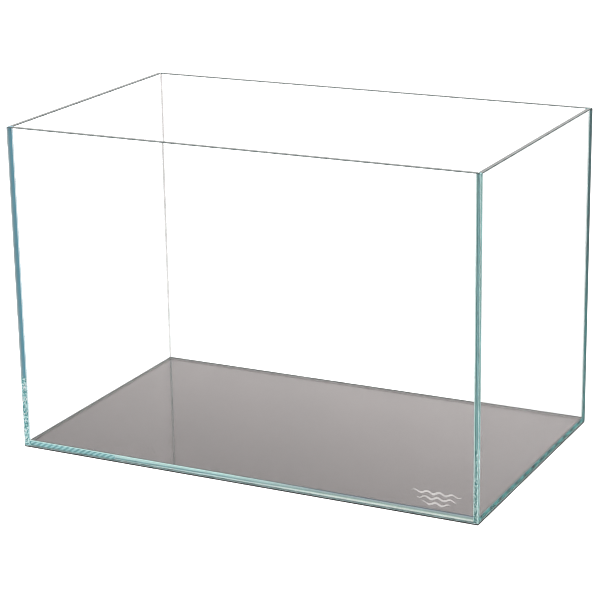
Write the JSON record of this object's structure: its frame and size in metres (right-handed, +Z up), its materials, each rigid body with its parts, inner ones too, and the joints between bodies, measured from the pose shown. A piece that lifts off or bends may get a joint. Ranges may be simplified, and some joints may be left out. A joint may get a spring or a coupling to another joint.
{
  "type": "glass aquarium tank",
  "caption": "Rimless open-topped glass aquarium tank with mitred upright corners, clear silicone seams and a glass base, standing on a thin dark foam levelling mat.",
  "frame": {"origin": "under the middle of the levelling mat, where the object rests", "axes": "+Z up, +X along the long side to the right seen from the front, and the front panel faces -Y"},
  "size_m": [0.6, 0.36, 0.4015],
  "materials": {
    "low_iron_glass": "clear, polished, faint blue-green at the edges",
    "clear_silicone": "clear, smooth, slightly cloudy",
    "foam_mat": "matt closed-cell foam"
  },
  "bodies": {
    "mat": {"leveling_mat": "foam_mat"},
    "tank": {"front_glass_panel": "low_iron_glass", "right_glass_panel": "low_iron_glass", "back_glass_panel": "low_iron_glass", "left_glass_panel": "low_iron_glass", "base_glass_panel": "low_iron_glass", "corner_seam_front_left": "clear_silicone", "corner_seam_front_right": "clear_silicone", "corner_seam_back_left": "clear_silicone", "corner_seam_back_right": "clear_silicone", "base_seam_front": "clear_silicone", "base_seam_right": "clear_silicone", "base_seam_back": "clear_silicone", "base_seam_left": "clear_silicone"}
  },
  "joints": [
    {"name": "tank_lift", "type": "slide", "parent": "mat", "child": "tank", "axis": [0, 0, 1], "range_m": [0, 0.1]}
  ]
}
